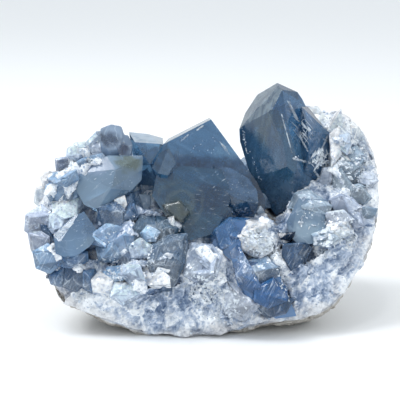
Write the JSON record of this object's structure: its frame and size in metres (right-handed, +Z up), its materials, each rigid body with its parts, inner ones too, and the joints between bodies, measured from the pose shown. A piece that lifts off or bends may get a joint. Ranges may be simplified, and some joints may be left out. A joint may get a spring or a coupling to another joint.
{
  "type": "celestite geode",
  "caption": "Broken geode fragment with a granular pale wall in a thin rind and large blue blocky crystals standing out of its hollow; rests on a flat spot.",
  "frame": {"origin": "a point of the flat spot that the geode rests on, under the middle of its width", "axes": "+Z up, +X along the geode's length, and its broken, crystal-filled side faces -Y"},
  "size_m": [0.1221, 0.0737, 0.082],
  "materials": {
    "granular_wall": "granular, sugary broken stone in a dull grey-beige rind",
    "blue_crystal": "clear steel-blue crystal, glossy flat faces",
    "small_crystals": "clear pale blue crystal, glossy flat faces"
  },
  "bodies": {
    "root": {"geode_wall": "granular_wall", "crystal_crust": "small_crystals", "broad_crystal": "blue_crystal", "tall_crystal": "blue_crystal", "back_left_crystal": "blue_crystal", "cap_crystal": "small_crystals", "left_crystal": "small_crystals", "lower_left_crystal": "blue_crystal", "low_crystal": "blue_crystal", "right_crystal": "small_crystals"}
  },
  "joints": []
}
